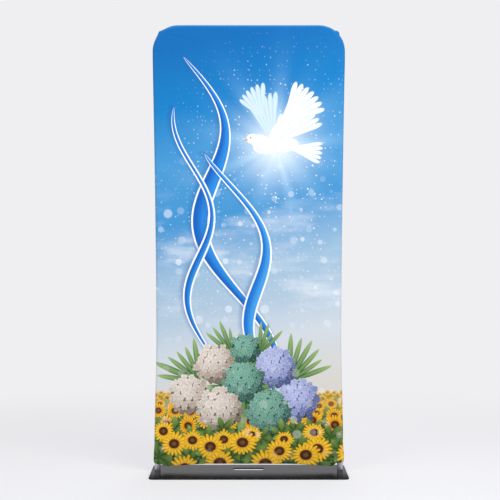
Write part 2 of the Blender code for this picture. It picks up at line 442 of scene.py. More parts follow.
# The cloth sleeve: two panels of stretch polyester knit, sewn together round the sides and top,
# then pulled down over the frame until they are tight. Each panel lies flat between the tubes and
# wraps a quarter turn round them to the seam. The hem is turned up inside and cover stitched.
CLOTH_RADIUS = 0.0156
HEM_HEIGHT = 0.0395
HEM_DROOP = 0.0105
DROOP_START = 0.17
DROOP_SPAN = 0.25
RISE_START = 0.400
RISE_SPAN = 0.022
HEM_RISES = {"left": 0.009, "right": 0.015}
SEAM_RISE = 0.004
HEM_TURN_UP = 0.022
HEM_FOLD_RADIUS = 0.0006
HEM_STEP = 0.0024
HEM_ZONE_TOP = 0.145
ROW_STEP = 0.012
FLARE = 0.0046
FLARE_HEIGHT = 0.060
COLUMNS = 120
WRAP_ANGLES = (84, 76, 68, 60, 52, 44, 36, 28, 20, 13, 8, 4, 0)
SEAM_GROOVE = 0.0009
SEAM_GROOVE_ANGLE = math.radians(9)
PEAKS = {
    "left": {"height": 0.0095, "half_length": 0.044, "crown": 1.0, "flank": 2.3},
    "right": {"height": 0.0088, "half_length": 0.0165, "crown": 2.0, "flank": 1.2},
}
PEAK_WRAP = math.radians(75)
PEAK_WRAP_POWER = 1.5
FRONT, REAR = -1, 1
PATTERN_WIDTH = 0.98
PATTERN_LENGTH = 2.17


def hem_height(x):
    """The hem's lower edge: arched in the middle, slack towards the poles and caught up at them."""
    droop = HEM_DROOP * soft_step((abs(x) - DROOP_START) / DROOP_SPAN)
    rise = HEM_RISES[side_word(x)] * soft_step((abs(x) - RISE_START) / RISE_SPAN)
    return HEM_HEIGHT - droop + rise


def seam_flare(height):
    """How far the slack seam stands off the tube just above the hem."""
    out = soft_step((HEM_ZONE_TOP - height) / (HEM_ZONE_TOP - FLARE_HEIGHT))
    back = soft_step((FLARE_HEIGHT - height) / (FLARE_HEIGHT - HEM_HEIGHT))
    return FLARE * out * (1 - 0.45 * back)


def peak_height(side, arc):
    """How far the bunched seam stands off the bend, this far along it from its middle."""
    row = PEAKS[side_word(side)]
    reach = min(abs(arc) / row["half_length"], 1.0)
    return row["height"] * (1 - reach ** row["crown"]) ** row["flank"]


def seam_pull(angle, stand_off):
    """The stand-off that is left this far round the tube, with the stitched groove at the seam."""
    lift = stand_off * max(0.0, 1 - angle / PEAK_WRAP) ** PEAK_WRAP_POWER
    groove = max(0.0, 1 - angle / SEAM_GROOVE_ANGLE)
    return lift - SEAM_GROOVE * groove**2


def hem_levels():
    """Rows of the hem: (height above the hem's edge, how far inside, length along the cloth)."""
    up_inside = [(HEM_TURN_UP - i * HEM_TURN_UP / 5, 2 * HEM_FOLD_RADIUS) for i in range(5)]
    around = [
        (
            HEM_FOLD_RADIUS * (1 - math.sin(math.pi * i / 6)),
            HEM_FOLD_RADIUS * (1 + math.cos(math.pi * i / 6)),
        )
        for i in range(7)
    ]
    return [
        (rise, inset, -rise if inset > HEM_FOLD_RADIUS else rise)
        for rise, inset in up_inside + around
    ]


def sleeve_rows(side):
    """Rows up one side of the sleeve: how the row is placed, and where the tube's axis is."""
    across = Vector((side, 0, 0))
    rows = []
    for rise, inset, run in hem_levels():
        rows.append({"rise": rise, "inset": inset, "run": run, "outward": across})
    steps = round((HEM_ZONE_TOP - HEM_HEIGHT) / HEM_STEP)
    for i in range(1, steps + 1):
        rows.append({"share": i / steps, "outward": across})
    steps = round((ELBOW_Z - HEM_ZONE_TOP) / ROW_STEP)
    for i in range(1, steps):
        z = HEM_ZONE_TOP + (ELBOW_Z - HEM_ZONE_TOP) * i / steps
        rows.append({"x": side * axis_half_width(z), "z": z, "outward": across, "stand_off": 0.0})
    for quarter_degrees in range(0, 361, 6):
        angle = math.radians(quarter_degrees / 4)
        direction = Vector((side * math.cos(angle), 0, math.sin(angle)))
        arc = (CORNER_RADIUS + CLOTH_RADIUS) * (angle - math.pi / 4)
        rows.append(
            {
                "x": side * ELBOW_X + CORNER_RADIUS * direction.x,
                "z": ELBOW_Z + CORNER_RADIUS * direction.z,
                "outward": direction,
                "stand_off": peak_height(side, arc),
            }
        )
    return rows


def settle(row, x, seam_share=0.0):
    """A row's height, inset, stand-off and length along the cloth, at this x and this near the seam."""
    hem = hem_height(x) + SEAM_RISE * seam_share
    if "rise" in row:
        z = hem + row["rise"]
        return z, row["inset"], seam_flare(z), hem + row["run"]
    if "share" in row:
        start = hem + HEM_FOLD_RADIUS
        z = start + (HEM_ZONE_TOP - start) * row["share"]
        return z, 0.0, seam_flare(z), z
    return row["z"], 0.0, row["stand_off"], row["z"]


# Where the sleeve is sewn and pulled: the hem's doubled band with its stitched groove, small
# puckers along it, one gather at the lower right corner, and long faint ripples where the tension
# runs down from the top corners.
HEM_BAND_RISE = 0.00035
STITCH_LINE = 0.019
STITCH_LINE_HALF_WIDTH = 0.0016
STITCH_DEPTH = 0.0004
PUCKER_PITCH = 0.013
PUCKER_DEPTH = 0.00045
GATHER_START = Vector((0.408, 0.044))
GATHER_END = Vector((0.458, 0.071))
GATHER_HALF_WIDTH = 0.0055
GATHER_RISE = 0.0032
VALLEY_DEPTH = 0.0014
RIPPLE_DEPTH = 0.0007
RIPPLE_INSET = 0.018
RIPPLE_FADE = 0.16
RIPPLES_PER_RADIAN = 17.0


def bell(value):
    """1 at 0, falling softly to nothing about 1.5 away on either side."""
    return math.exp(-value * value * 1.6)


def gather_relief(across, up):
    """The diagonal ridge at the lower right corner, with its valley below."""
    line = GATHER_END - GATHER_START
    offset = Vector((across, up)) - GATHER_START
    along = offset.dot(line) / line.length_squared
    aside = (line.x * offset.y - line.y * offset.x) / line.length
    ends = soft_step((along + 0.35) / 0.5) * soft_step((1.25 - along) / 0.35)
    ridge = GATHER_RISE * bell(aside / GATHER_HALF_WIDTH)
    valley = VALLEY_DEPTH * bell((aside + 1.7 * GATHER_HALF_WIDTH) / GATHER_HALF_WIDTH)
    return (ridge - valley) * ends


def hem_relief(across, above_hem):
    """The hem's doubled band, its stitched groove and its puckers."""
    band = HEM_BAND_RISE * soft_step((STITCH_LINE + 0.003 - above_hem) / 0.003)
    groove = STITCH_DEPTH * bell((above_hem - STITCH_LINE) / STITCH_LINE_HALF_WIDTH)
    wave = math.sin(across / PUCKER_PITCH * 2 * math.pi + 2.1 * math.sin(across * 31.0))
    near = bell((above_hem - STITCH_LINE) / 0.012)
    return band - groove + PUCKER_DEPTH * wave * near


def tension_relief(across, up):
    """Long faint ripples that fan out from each top corner down the cloth."""
    relief = 0.0
    for side in (-1, 1):
        aside = side * across
        corner_x = TOP_HALF_WIDTH - RIPPLE_INSET
        corner_z = TOP_AXIS - RIPPLE_INSET
        reach = math.hypot(corner_x - aside, corner_z - up)
        if reach < 1e-6:
            continue
        turn = math.atan2(corner_z - up, corner_x - aside)
        fade = soft_step((reach - 0.02) / 0.05) * math.exp(-reach / RIPPLE_FADE)
        relief += RIPPLE_DEPTH * math.sin(turn * RIPPLES_PER_RADIAN + side * 0.9) * fade
    return relief


def cloth_relief(across, up, above_hem, depth_sign):
    """How far the cloth's face stands out at this place of its pattern."""
    relief = hem_relief(across, above_hem) + tension_relief(across, up)
    if depth_sign == FRONT:
        relief += gather_relief(across, up)
    return relief


def build_panel(name, depth_sign):
    """One panel of the sleeve: its face, and its wraps round the tube to the seam."""
    shape = bmesh.new()
    place_layer = shape.verts.layers.float_vector.new("print_place")
    seam_layer = shape.verts.layers.float.new("from_seam")
    hem_layer = shape.verts.layers.float.new("above_hem")

    def add_point(x, z, outward, degrees, inset, stand_off, run):
        angle = math.radians(degrees)
        arc = CLOTH_RADIUS * (math.pi / 2 - angle)
        across = x + outward.x * arc
        up = run + outward.z * arc
        above_hem = run - hem_height(x)
        ease = min(1.0, 1.25 * math.sin(angle) + 0.25)
        relief = cloth_relief(across, up, above_hem, depth_sign) * ease if inset == 0.0 else 0.0
        radius = CLOTH_RADIUS - inset + relief
        reach = radius + seam_pull(angle, stand_off)
        point = Vector((x, FRAME_SETBACK, z)) + reach * math.cos(angle) * outward
        point.y += depth_sign * max(radius * math.sin(angle), PIECE_GAP / 2)
        vert = shape.verts.new(point)
        vert[place_layer] = (across, up, 0.0)
        vert[seam_layer] = CLOTH_RADIUS * angle
        vert[hem_layer] = above_hem
        return vert

    left, right = sleeve_rows(-1), sleeve_rows(1)
    lines, chains = [], []
    for low, high in zip(left, right):
        line = []
        for column in range(COLUMNS + 1):
            share = math.sin(math.pi / 2 * (2 * column / COLUMNS - 1))
            share = 0.55 * share + 0.45 * (2 * column / COLUMNS - 1)
            half = high["x"] if "x" in high else FOOT_HALF_WIDTH
            x = share * half
            z, inset, _, run = settle(low, x)
            line.append(add_point(x, z, UP, 90, inset, 0.0, run))
        lines.append(line)

    def wrap(start, row, x):
        chain = [start]
        for degrees in WRAP_ANGLES:
            z, inset, stand_off, run = settle(row, x, math.cos(math.radians(degrees)))
            chain.append(add_point(x, z, row["outward"], degrees, inset, stand_off, run))
        return chain

    for row, line in zip(left, lines):
        chains.append(wrap(line[0], row, line[0].co.x))
    over_rail = {"z": TOP_AXIS, "outward": UP, "stand_off": 0.0}
    for start in lines[-1][1:-1]:
        chains.append(wrap(start, over_rail, start.co.x))
    for row, line in reversed(list(zip(right, lines))):
        chains.append(wrap(line[-1], row, line[-1].co.x))
    for strips in (lines, chains[::-1]):
        for first, second in zip(strips, strips[1:]):
            for i in range(len(first) - 1):
                face = shape.faces.new((first[i], first[i + 1], second[i + 1], second[i]))
                face.smooth = True
    unroll = shape.loops.layers.uv.new("OFBake")
    for face in shape.faces:
        for loop in face.loops:
            across, up, _ = loop.vert[place_layer]
            loop[unroll].uv = (across / PATTERN_WIDTH + 0.5, up / PATTERN_LENGTH)
    shape.normal_update()
    facing = sum(face.normal.y * face.calc_area() for face in shape.faces)
    if facing * depth_sign < 0:
        bmesh.ops.reverse_faces(shape, faces=shape.faces)
    mesh = bpy.data.meshes.new(name)
    shape.to_mesh(mesh)
    shape.free()
    return mesh


def make_knit_group():
    """Fine stretch knit: columns of small V stitches, in metres of cloth."""
    group, (place, wale, course) = make_group(
        "stretch_knit",
        {"Place": Vector((0, 0, 0)), "Wale": 0.0009, "Course": 0.0008},
        {"Height": float, "Tone": float},
    )
    across, up, _ = place.parts()
    column = across / wale
    lean = abs(column.work("FRACT") - 0.5) * 2.0
    stitch = (up / course + lean * 0.8).work("FRACT")
    loop = 1.0 - abs(stitch - 0.5) * 2.0
    groove = lean.between(0.78, 1.0)
    height = loop * 0.6 + (1.0 - groove) * 0.4
    yarn = cloudy(vector(group, across * 900.0, up * 60.0, 0.0), 1.0, detail=2.0)
    finish_group(group, height, yarn)
    return group


knit_group = make_knit_group()

WALE = 0.0009
COURSE = 0.0008
KNIT_DEPTH = 0.00009
THREAD_PITCH = 0.0034
THREAD_HALF_WIDTH = 0.00045
THREAD_LINES = (0.0165, 0.0205)
THREAD_GREY = "#C9CCD2"


def vertex_value(tree, name):
    """A number that each point of the cloth carries, in metres."""
    node = tree.nodes.new("ShaderNodeAttribute")
    node.attribute_name = name
    return Flow(node.outputs["Fac"])


def make_cover_stitch_group():
    """Two rows of thread that hold the hem's turn-up: one stitch after the other, a gap between."""
    group, (across, above_hem) = make_group(
        "cover_stitch", {"Across": 0.0, "Above hem": 0.0}, {"Mask": float}
    )
    along = abs((across / THREAD_PITCH).work("FRACT") - 0.5)
    stitch = along.fade(0.34, 0.42)
    nearest = None
    for height in THREAD_LINES:
        away = abs(above_hem - height)
        nearest = away if nearest is None else nearest.work("MINIMUM", away)
    finish_group(group, stitch * nearest.fade(THREAD_HALF_WIDTH * 0.6, THREAD_HALF_WIDTH * 1.2))
    return group


cover_stitch = make_cover_stitch_group()


def print_place(tree):
    """Where a point is on the flat pattern, in metres."""
    unrolled = tree.nodes.new("ShaderNodeUVMap")
    unrolled.uv_map = "OFBake"
    node = tree.nodes.new("ShaderNodeMapping")
    tree.links.new(unrolled.outputs["UV"], node.inputs["Vector"])
    node.inputs["Scale"].default_value = (PATTERN_WIDTH, PATTERN_LENGTH, 1.0)
    node.inputs["Location"].default_value = (-PATTERN_WIDTH / 2, 0.0, 0.0)
    return Flow(node.outputs["Vector"])


# The plain back panel: the same knit, left white. It is sewn to the front one round the sides and
# top, and has the same turned-up hem.
CLOTH_WHITE = "#E9EAEE"
CLOTH_SHADE = "#DDDFE5"


def make_plain_knit():
    """White knit with a little unevenness of yarn and handling."""
    made, tree, shader = new_material(
        "plain_white_knit", 0.80, Sheen_Weight=0.12, Sheen_Roughness=0.45, Specular_IOR_Level=0.25
    )
    place = print_place(tree)
    height, tone = use(knit_group, tree, place, WALE, COURSE)
    thread = use(cover_stitch, tree, place.parts()[0], vertex_value(tree, "above_hem"))
    handled = cloudy(place, 5, detail=3.0)
    cloth = mix(colour(CLOTH_WHITE), colour(CLOTH_SHADE), tone * 0.5 + handled * 0.3)
    cloth = mix(cloth, colour(THREAD_GREY), thread * 0.8)
    plug(cloth, shader.inputs["Base Color"])
    plug(0.74 + tone * 0.12, shader.inputs["Roughness"])
    raise_surface(tree, shader, height + thread * 3.0, KNIT_DEPTH)
    return made


back_mesh = build_panel("back_sleeve", REAR)
back_sleeve = add_piece("back_sleeve", back_mesh, make_plain_knit(), "plain_cloth", "back_panel")

# The printed front panel: dye printed before sewing, so the picture has no thickness and runs on
# round the sides to the seam. Its design is a bright sky with a dove in its light, white edged
# ribbons, round flower heads, and a bed of golden flowers along the bottom.
SKY_STOPS = (
    (0.38, "#D8D5CF"),
    (0.62, "#CFD7DF"),
    (0.80, "#B0C6D9"),
    (0.98, "#9CBCD6"),
    (1.25, "#4091CB"),
    (1.55, "#4394CD"),
    (1.80, "#067BBF"),
    (2.10, "#0067AE"),
)
SKY_TILT = 0.20
CLOUD_WHITE = "#F3F6FA"
WHITE = "#FFFFFF"
TURN = 2 * math.pi


def chances(number):
    """Three random numbers from 0 to 1 that stay the same for the same number put in."""
    node = number.tree.nodes.new("ShaderNodeTexWhiteNoise")
    node.noise_dimensions = "1D"
    plug(number, node.inputs["W"])
    return Flow(node.outputs["Color"]).parts()


def make_petal_fan_group():
    """Petals or feathers spread round a point, with lengths counted from it to the longest tip."""
    group, inputs = make_group(
        "petal_fan",
        {
            "Across": 0.0,
            "Up": 0.0,
            "Turn": 0.0,
            "Spread": 1.0,
            "Count": 12.0,
            "Last length": 1.0,
            "Notch": 0.3,
            "Bluntness": 2.0,
            "Unevenness": 0.0,
            "Seed": 0.0,
        },
        {"Mask": float, "Along": float, "Aside": float},
    )
    across, up, turn, spread, count, last, notch, blunt, uneven, seed = inputs
    bearing = (up.work("ARCTAN2", across) / TURN - turn).work("FRACT")
    share = bearing * (count / spread)
    number = share.work("FLOOR")
    aside = abs(share.work("FRACT") - 0.5) * 2.0
    odd = chances(number + seed)[0] - 0.5
    taper = (number / count) * (last - 1.0) + 1.0
    tip = (1.0 - notch * aside**blunt) * taper * (uneven * odd + 1.0)
    along = length(across, up) / tip
    mask = along.fade(0.97, 1.03) * share.work("LESS_THAN", count)
    finish_group(group, mask, along, aside)
    return group


petal_fan = make_petal_fan_group()


def make_oval_group():
    """A turned oval with soft edges, and how far down in it a point lies."""
    group, (across, up, half_width, half_height, turn) = make_group(
        "printed_oval",
        {"Across": 0.0, "Up": 0.0, "Half width": 1.0, "Half height": 1.0, "Turn": 0.0},
        {"Mask": float, "Low": float},
    )
    cosine = (turn * TURN).work("COSINE")
    sine = (turn * TURN).work("SINE")
    along = (across * cosine + up * sine) / half_width
    aside = (across * sine - up * cosine) / half_height
    finish_group(group, length(along, aside).fade(0.95, 1.04), aside)
    return group


printed_oval = make_oval_group()


def stretch(place, across_scale, up_scale):
    """The same place, counted in other units across and up."""
    node = place.tree.nodes.new("ShaderNodeMapping")
    plug(place, node.inputs["Vector"])
    node.inputs["Scale"].default_value = (across_scale, up_scale, 1.0)
    return Flow(node.outputs["Vector"])


def paint_sky(place, across, up):
    """The sky's own colours, deep at the top and pale at the bottom, with thin cloud low down."""
    lowest = SKY_STOPS[0][0]
    span = SKY_STOPS[-1][0] - lowest
    share = (up - across * SKY_TILT - lowest) / span
    ramp = place.tree.nodes.new("ShaderNodeValToRGB")
    plug(share, ramp.inputs["Fac"])
    stops = ramp.color_ramp.elements
    while len(stops) < len(SKY_STOPS):
        stops.new(0.5)
    for stop, (height, code) in zip(stops, SKY_STOPS):
        stop.position = (height - lowest) / span
        stop.color = colour(code)
    veil = cloudy(stretch(place, 2.2, 6.5), 1.0, detail=5.0, rough=0.6).between(0.46, 0.74)
    low = up.between(0.62, 0.86) * up.fade(1.05, 1.50)
    return mix(Flow(ramp.outputs["Color"]), colour(CLOUD_WHITE), veil * low * 0.55)


LIGHT_CENTRE = (0.130, 1.560)
RAY_COUNT = 13
RAY_BLUE = "#A9DAF8"
GLOW_WHITE = "#EFFAFF"


def paint_light(picture, across, up):
    """The glow behind the dove, with soft rays that fade outwards."""
    x = across - LIGHT_CENTRE[0]
    z = up - LIGHT_CENTRE[1]
    reach = length(x, z)
    bearing = z.work("ARCTAN2", x)
    waver = (bearing * 5.0).work("SINE")
    rays = (bearing * RAY_COUNT + waver).work("SINE") * 0.5 + 0.5
    other_rays = (bearing * 9.0 + 0.7).work("SINE") * 0.35 + 0.65
    near = (reach * reach * -42.0).work("EXPONENT")
    far = (reach * reach * -15.0).work("EXPONENT")
    picture = mix(picture, colour(RAY_BLUE), far * rays * other_rays * 0.50)
    return mix(picture, colour(GLOW_WHITE), near * 0.85)


def make_light_dots_group():
    """Round soft dots of light, one in each cell, of uneven size and strength."""
    group, (place, share, biggest) = make_group(
        "light_dots", {"Place": Vector((0, 0, 0)), "Share": 0.5, "Biggest": 0.3}, {"Mask": float}
    )
    node = group.nodes.new("ShaderNodeTexVoronoi")
    node.voronoi_dimensions = "2D"
    node.inputs["Scale"].default_value = 1.0
    plug(place, node.inputs["Vector"])
    one, two, three = Flow(node.outputs["Color"]).parts()
    radius = biggest * (one * 0.75 + 0.25)
    dot = (Flow(node.outputs["Distance"]) / radius).fade(0.72, 1.08)
    finish_group(group, dot * two.work("LESS_THAN", share) * (three * 0.65 + 0.35))
    return group


light_dots = make_light_dots_group()

BIG_DOTS_PER_METRE = 13.0
SPARKLES_PER_METRE = 46.0
DOT_WHITE = "#F4FAFF"


def paint_light_dots(picture, place, across, up):
    """Blurred dots low in the sky, which it also returns, and fine sparkle round the dove."""
    tree = up.tree
    big = use(light_dots, tree, stretch(place, BIG_DOTS_PER_METRE, BIG_DOTS_PER_METRE), 0.5, 0.30)
    band = up.between(0.55, 0.80) * up.fade(1.15, 1.62)
    picture = mix(picture, colour(DOT_WHITE), big * band * 0.50)
    small = use(light_dots, tree, stretch(place, SPARKLES_PER_METRE, SPARKLES_PER_METRE), 0.42, 0.20)
    close = length(across - LIGHT_CENTRE[0], up - LIGHT_CENTRE[1]).fade(0.16, 0.62)
    return mix(picture, colour(WHITE), small * (close + band * 0.6) * 0.75), big


def make_ribbon_group():
    """A tapering ribbon that climbs in slow waves: which side of it, and how far past its edge."""
    group, inputs = make_group(
        "ribbon",
        {
            "Across": 0.0,
            "Up": 0.0,
            "Start": 0.4,
            "Height": 1.2,
            "Middle": 0.0,
            "Lean": 0.0,
            "Sway": 0.1,
            "Waves": 1.0,
            "Phase": 0.0,
            "Half width": 0.03,
        },
        {"Side": float, "Past edge": float, "Taper": float, "Inside": float},
    )
    across, up, start, height, middle, lean, sway, waves, phase, half_width = inputs
    climb = (up - start) / height
    swing = climb * (waves * TURN) + phase
    line = (climb - 0.5) * lean + swing.work("SINE") * sway + middle
    slope = swing.work("COSINE") * (sway * waves * TURN / height) + lean / height
    aside = (across - line) / (slope * slope + 1.0) ** 0.5
    taper = (climb * (1.0 - climb) * 4.0).work("MAXIMUM", 0.0001) ** 0.55
    half = half_width * taper * ((swing + 0.6).work("COSINE") * 0.28 + 0.72)
    inside = abs(climb - 0.5).work("LESS_THAN", 0.5)
    finish_group(group, aside / half * 0.5 + 0.5, abs(aside) - half, taper, inside)
    return group


ribbon_group = make_ribbon_group()

RIBBONS = (
    {
        "route": (0.36, 1.62, -0.12, -0.36, 0.115, 1.45, 0.4, 0.036),
        "deep": "#0A5FBA",
        "bright": "#2E93E6",
    },
    {
        "route": (0.40, 1.12, 0.02, -0.30, 0.100, 1.14, 3.2, 0.027),
        "deep": "#0F6FCB",
        "bright": "#4BA8EE",
    },
    {
        "route": (0.44, 1.30, -0.24, -0.10, 0.075, 1.51, 2.0, 0.015),
        "deep": "#0A5FBA",
        "bright": "#2E93E6",
    },
)
RIBBON_BORDER = 0.0080
SHADOW_SHIFT = 0.011
SHADOW_BLUR = 0.026
SHADOW_BLUE = "#1B5FA8"
BORDER_WHITE = "#FBFDFF"


def paint_ribbon(picture, across, up, route, deep, bright):
    """A ribbon with its soft shadow, its white border and its two blues."""
    tree = up.tree
    _, past, _, inside = use(ribbon_group, tree, across + SHADOW_SHIFT, up - SHADOW_SHIFT, *route)
    picture = mix(picture, colour(SHADOW_BLUE), past.fade(-0.004, SHADOW_BLUR) * inside * 0.42)
    side, past, taper, inside = use(ribbon_group, tree, across, up, *route)
    border = (past - taper * RIBBON_BORDER).fade(-0.001, 0.001) * inside
    picture = mix(picture, colour(BORDER_WHITE), border)
    blue = mix(colour(deep), colour(bright), side.between(0.1, 0.9) * 0.8)
    return mix(picture, blue, past.fade(-0.001, 0.001) * inside)


DOVE_PLACE = (0.130, 1.560)
DOVE_LENGTH = 0.27
FAR_WHITE = "#D3E6F7"
FEATHER_SHADE = "#9CC4E8"
BEAK_AND_EYE = (
    {
        "x": -0.530, "z": 0.096, "half_width": 0.040, "half_height": 0.015,
        "turn": 7.2, "tint": "#E0A04A",
    },
    {
        "x": -0.448, "z": 0.135, "half_width": 0.013, "half_height": 0.013,
        "turn": 0, "tint": "#1E3350",
    },
)
FAR_WING = (
    {
        "x": -0.05, "z": 0.02, "reach": 0.92, "turn": 84,
        "spread": 40, "count": 6, "last": 0.86, "notch": 0.13,
    },
    {
        "x": -0.24, "z": 0.48, "reach": 0.62, "turn": 84,
        "spread": 62, "count": 6, "last": 0.80, "notch": 0.20,
    },
)
TAIL = (
    {
        "x": 0.20, "z": -0.03, "reach": 0.62, "turn": -30,
        "spread": 40, "count": 5, "last": 1.0, "notch": 0.16,
    },
)
BODY = (
    {"x": 0.00, "z": -0.01, "half_width": 0.40, "half_height": 0.150, "turn": 6},
    {"x": -0.26, "z": 0.045, "half_width": 0.20, "half_height": 0.135, "turn": -24},
    {"x": -0.415, "z": 0.115, "half_width": 0.105, "half_height": 0.092, "turn": 0},
)
NEAR_WING = (
    {
        "x": -0.10, "z": 0.00, "reach": 0.98, "turn": 20,
        "spread": 48, "count": 8, "last": 0.92, "notch": 0.12,
    },
    {
        "x": 0.13, "z": 0.45, "reach": 0.74, "turn": 10,
        "spread": 66, "count": 7, "last": 0.94, "notch": 0.18,
    },
    {
        "x": -0.10, "z": 0.02, "reach": 0.62, "turn": 22,
        "spread": 52, "count": 6, "last": 0.90, "notch": 0.14,
    },
)
SHOULDER = ({"x": 0.02, "z": 0.20, "half_width": 0.28, "half_height": 0.12, "turn": 62},)


def paint_feathers(picture, across, up, tint, x, z, reach, turn, spread, count, last, notch):
    """A fan of feathers, shaded along their edges and towards their tips."""
    mask, along, aside = use(
        petal_fan, up.tree, (across - x) / reach, (up - z) / reach,
        turn / 360, spread / 360, float(count), last, notch, 2.5, 0.0, 0.0,
    )
    shade = aside**3.0 * 0.55 + along.between(0.2, 1.0) * 0.12
    return mix(picture, mix(colour(tint), colour(FEATHER_SHADE), shade), mask)


def paint_oval(picture, across, up, x, z, half_width, half_height, turn):
    """A white oval, shaded towards its underside."""
    mask, low = use(printed_oval, up.tree, across - x, up - z, half_width, half_height, turn / 360)
    white = mix(colour(WHITE), colour(FEATHER_SHADE), low.between(0.1, 1.1) * 0.45)
    return mix(picture, white, mask)


def paint_spot(picture, across, up, x, z, half_width, half_height, turn, tint):
    """A small oval of one colour, such as the beak and the eye."""
    mask, _ = use(printed_oval, up.tree, across - x, up - z, half_width, half_height, turn / 360)
    return mix(picture, colour(tint), mask)


def paint_dove(picture, across, up):
    """A dove with raised wings, built up from feather fans and ovals, head to the left."""
    x = (across - DOVE_PLACE[0]) / DOVE_LENGTH
    z = (up - DOVE_PLACE[1]) / DOVE_LENGTH
    for fan in FAR_WING:
        picture = paint_feathers(picture, x, z, FAR_WHITE, **fan)
    for fan in TAIL:
        picture = paint_feathers(picture, x, z, WHITE, **fan)
    for oval in BODY:
        picture = paint_oval(picture, x, z, **oval)
    for fan in NEAR_WING:
        picture = paint_feathers(picture, x, z, WHITE, **fan)
    for oval in SHOULDER:
        picture = paint_oval(picture, x, z, **oval)
    for spot in BEAK_AND_EYE:
        picture = paint_spot(picture, x, z, **spot)
    return picture


PETAL_SHADE = "#9A520B"
DISC_MIDDLE = "#7B5A2C"
DISC_BROWN = "#4A220F"
DISC_RIM = "#8C4A17"
SEED_DARK = "#2A1208"


def make_flower_group(name, rings):
    """A golden flower of radius 1: rings of petals round a speckled brown disc."""
    group, (across, up, turn, seed) = make_group(
        name, {"Across": 0.0, "Up": 0.0, "Turn": 0.0, "Seed": 0.0}, {"Colour": tuple, "Mask": float}
    )
    painted = None
    for ring in rings:
        mask, along, aside = use(
            petal_fan, group, across / ring["size"], up / ring["size"],
            turn, 1.0, ring["count"], 1.0, 0.36, 2.2, 0.24, seed,
        )
        petal = mix(colour(ring["base"]), colour(ring["tip"]), along.between(0.35, 0.80))
        petal = mix(petal, colour(PETAL_SHADE), aside.between(0.45, 1.0) * 0.6)
        if painted is None:
            painted = petal
            covered = mask
        else:
            painted = mix(painted, petal, mask)
    reach = length(across, up)
    bearing = up.work("ARCTAN2", across)
    spiral = (bearing * 13.0 + reach * 40.0).work("SINE")
    counter = (bearing * 21.0 - reach * 60.0).work("SINE")
    disc = mix(colour(DISC_MIDDLE), colour(DISC_BROWN), reach.between(0.08, 0.26))
    disc = mix(disc, colour(DISC_RIM), reach.between(0.30, 0.42) * 0.7)
    disc = mix(disc, colour(SEED_DARK), (spiral * counter).between(0.0, 0.5) * 0.6)
    finish_group(group, mix(painted, disc, reach.fade(0.39, 0.44)), covered)
    return group


OUTER_RING = {"size": 1.0, "count": 19.0, "tip": "#F7BA1C", "base": "#CF7A0C"}
INNER_RING = {"size": 0.82, "count": 16.0, "tip": "#FFD034", "base": "#E58E0E"}
near_flower = make_flower_group("near_flower", (OUTER_RING, INNER_RING))
far_flower = make_flower_group("far_flower", (OUTER_RING,))


def make_row_group(name, flower):
    """A row of golden flowers, each a little off its place."""
    group, inputs = make_group(
        name,
        {"Across": 0.0, "Up": 0.0, "Level": 0.2, "Radius": 0.04, "Pitch": 0.1, "Seed": 0.0},
        {"Colour": tuple, "Mask": float},
    )
    across, up, level, radius, pitch, seed = inputs
    count = across / pitch + seed
    number = count.work("FLOOR")
    one, two, three = chances(number + seed * 7.3)
    size = radius * (one * 0.30 + 0.80)
    x = (count - number - 0.37 - two * 0.26) * pitch / size
    z = (up - level - (three - 0.5) * radius) / (size * (two * 0.18 + 0.80))
    finish_group(group, *use(flower, group, x, z, three, number))
    return group


near_row = make_row_group("near_flower_row", near_flower)
far_row = make_row_group("far_flower_row", far_flower)

MEADOW_TOP = 0.378
HAZE = "#E6D390"


def paint_row(picture, across, up, plant, level, radius, pitch, haze, seed):
    """A row of plants in front of the picture so far, paler the further off it is."""
    plants, mask = use(plant, up.tree, across, up, level, radius, pitch, seed)
    if haze:
        plants = mix(plants, colour(HAZE), mask * haze)
    return mix(picture, plants, mask)


LEAF_DARK = "#35591F"
LEAF_LIGHT = "#8DAA58"
LEAF_EDGE = "#1B3212"


def make_leaf_row_group():
    """A row of leafy tufts, five broad leaves each."""
    group, inputs = make_group(
        "leaf_row",
        {"Across": 0.0, "Up": 0.0, "Level": 0.2, "Radius": 0.06, "Pitch": 0.1, "Seed": 0.0},
        {"Colour": tuple, "Mask": float},
    )
    across, up, level, radius, pitch, seed = inputs
    count = across / pitch + seed
    number = count.work("FLOOR")
    one, two, three = chances(number + seed * 5.9)
    x = (count - number - 0.30 - two * 0.40) * pitch / radius
    z = (up - level - (three - 0.5) * radius * 0.8) / radius
    mask, along, aside = use(
        petal_fan, group, x, z, one, 1.0, 6.0, 1.0, 0.62, 1.3, 0.45, number
    )
    leaf = mix(colour(LEAF_DARK), colour(LEAF_LIGHT), (1.0 - aside) * along * (two * 0.5 + 0.6))
    leaf = mix(leaf, colour(LEAF_EDGE), aside.between(0.6, 1.0) * 0.75)
    finish_group(group, leaf, mask)
    return group


leaf_row = make_leaf_row_group()

